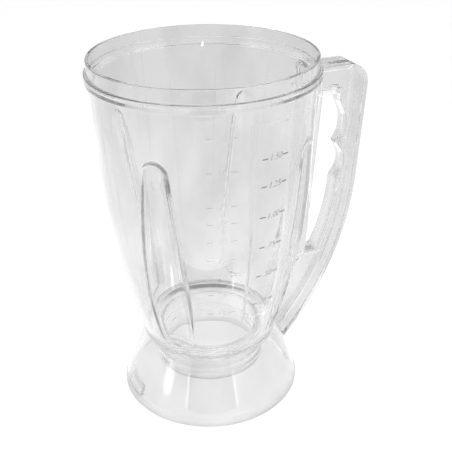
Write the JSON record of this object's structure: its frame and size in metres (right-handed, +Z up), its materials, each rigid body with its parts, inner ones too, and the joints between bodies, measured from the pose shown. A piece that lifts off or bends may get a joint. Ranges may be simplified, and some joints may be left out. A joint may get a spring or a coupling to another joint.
{
  "type": "blender jar",
  "caption": "Clear one-piece blender jar with a fluted body, beaded rim, open blade collar, flared skirt and a side handle with finger grips.",
  "frame": {"origin": "on the jar's axis, in the plane that the skirt stands on", "axes": "+Z up along the jar's axis, +X towards the handle"},
  "size_m": [0.1719, 0.1364, 0.226],
  "materials": {
    "clear_plastic": "clear, polished"
  },
  "bodies": {
    "root": {"jar": "clear_plastic"}
  },
  "joints": []
}
